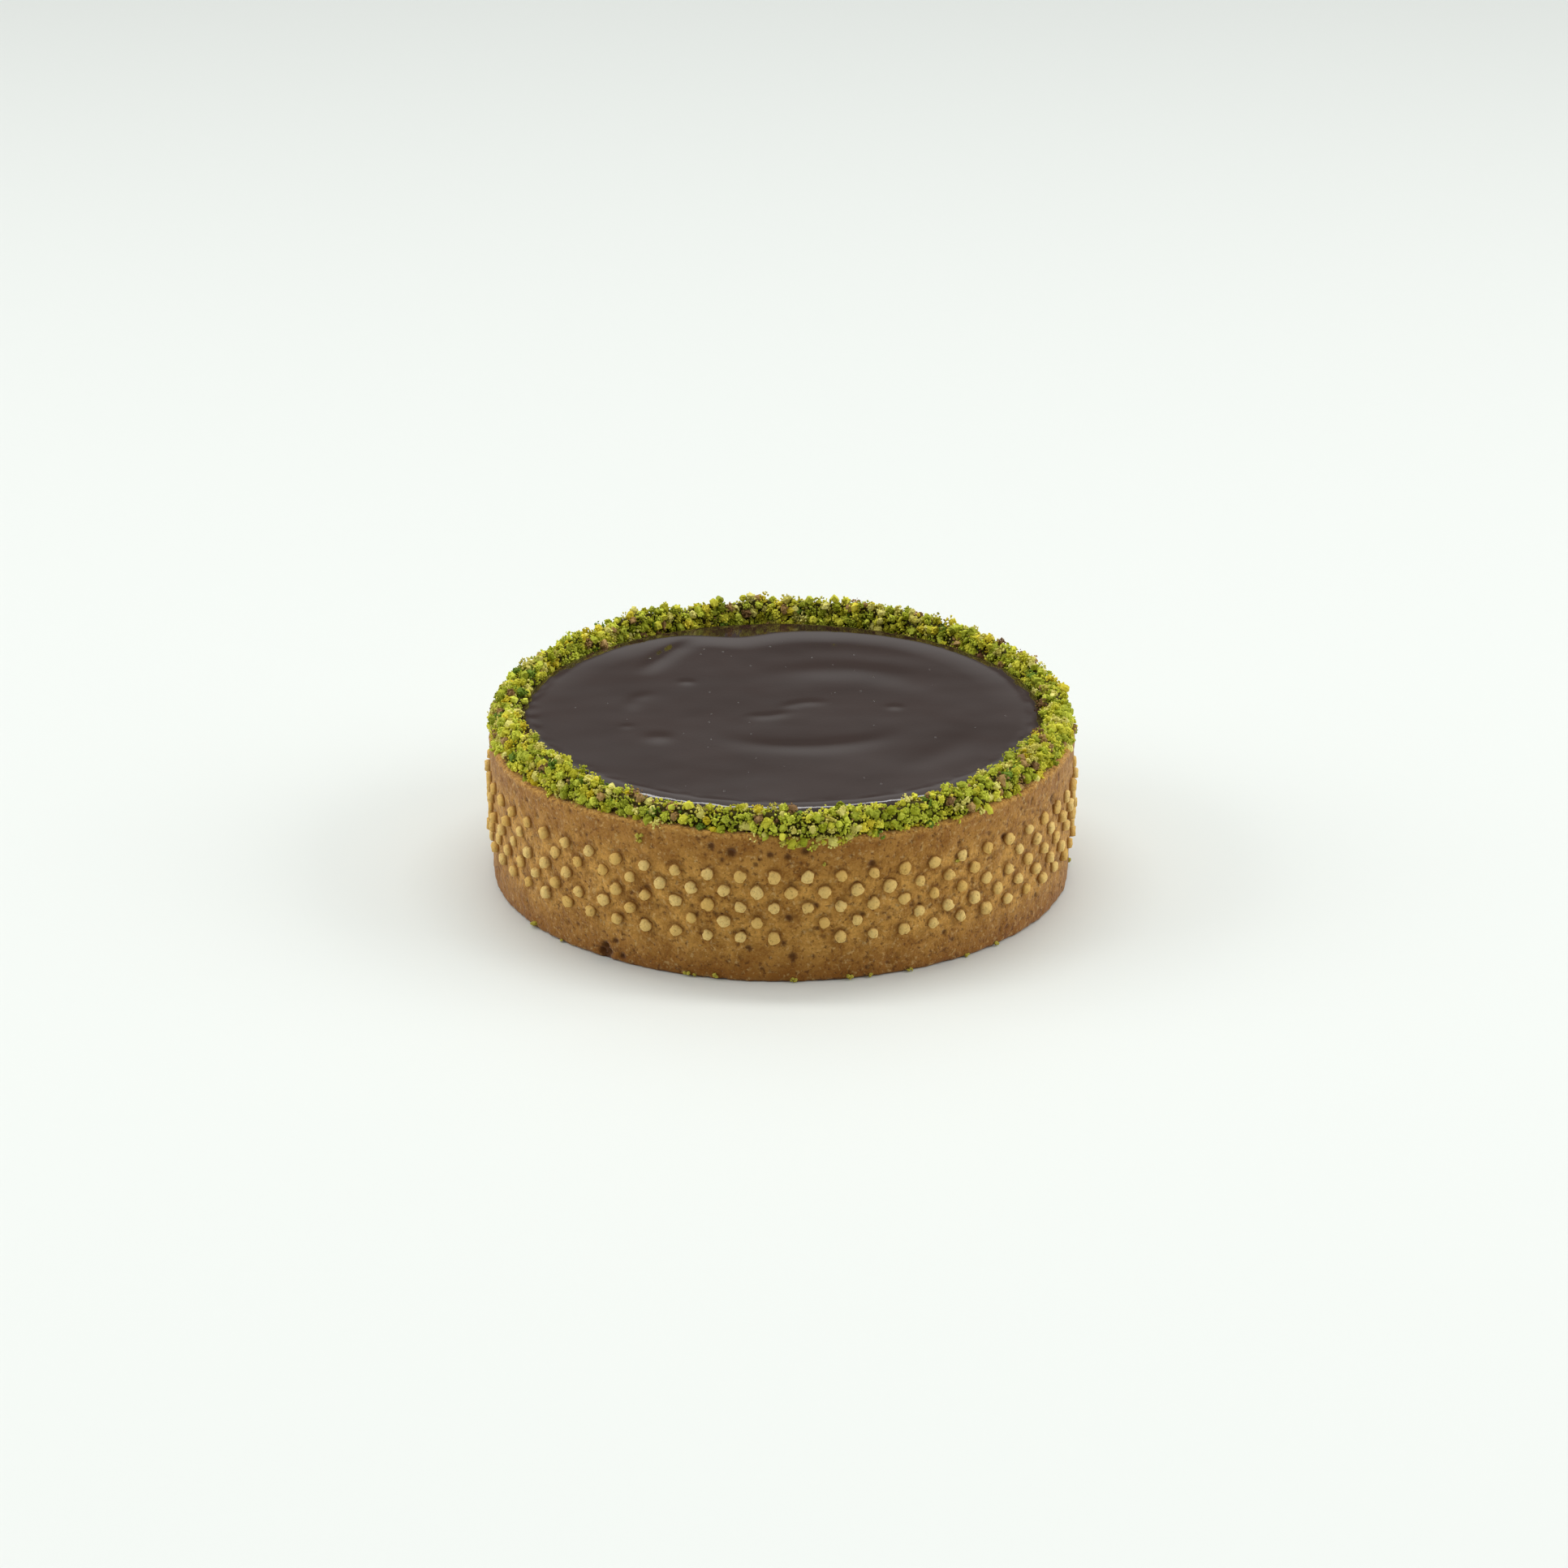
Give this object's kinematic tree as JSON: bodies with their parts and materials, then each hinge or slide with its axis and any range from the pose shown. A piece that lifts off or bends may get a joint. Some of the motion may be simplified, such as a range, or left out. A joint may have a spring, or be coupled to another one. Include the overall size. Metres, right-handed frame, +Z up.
{
  "type": "chocolate tart",
  "caption": "Small round tart: straight pastry case with rows of raised nubs, glossy domed chocolate filling, and a ring of chopped pistachio round the rim.",
  "frame": {"origin": "centre of the flat underside of the pastry case", "axes": "+Z up, square to the underside; -Y towards the front of the tart as first seen, +X to the right"},
  "size_m": [0.0816, 0.0817, 0.0262],
  "materials": {
    "baked_pastry": "matte baked sweet pastry with a fine sandy grain",
    "dark_ganache": "smooth glossy dark chocolate",
    "chopped_pistachio": "dry chopped nuts, yellow-green to dark green"
  },
  "bodies": {
    "root": {"crust": "baked_pastry", "ganache": "dark_ganache", "pistachio_crumbs": "chopped_pistachio"}
  },
  "joints": []
}
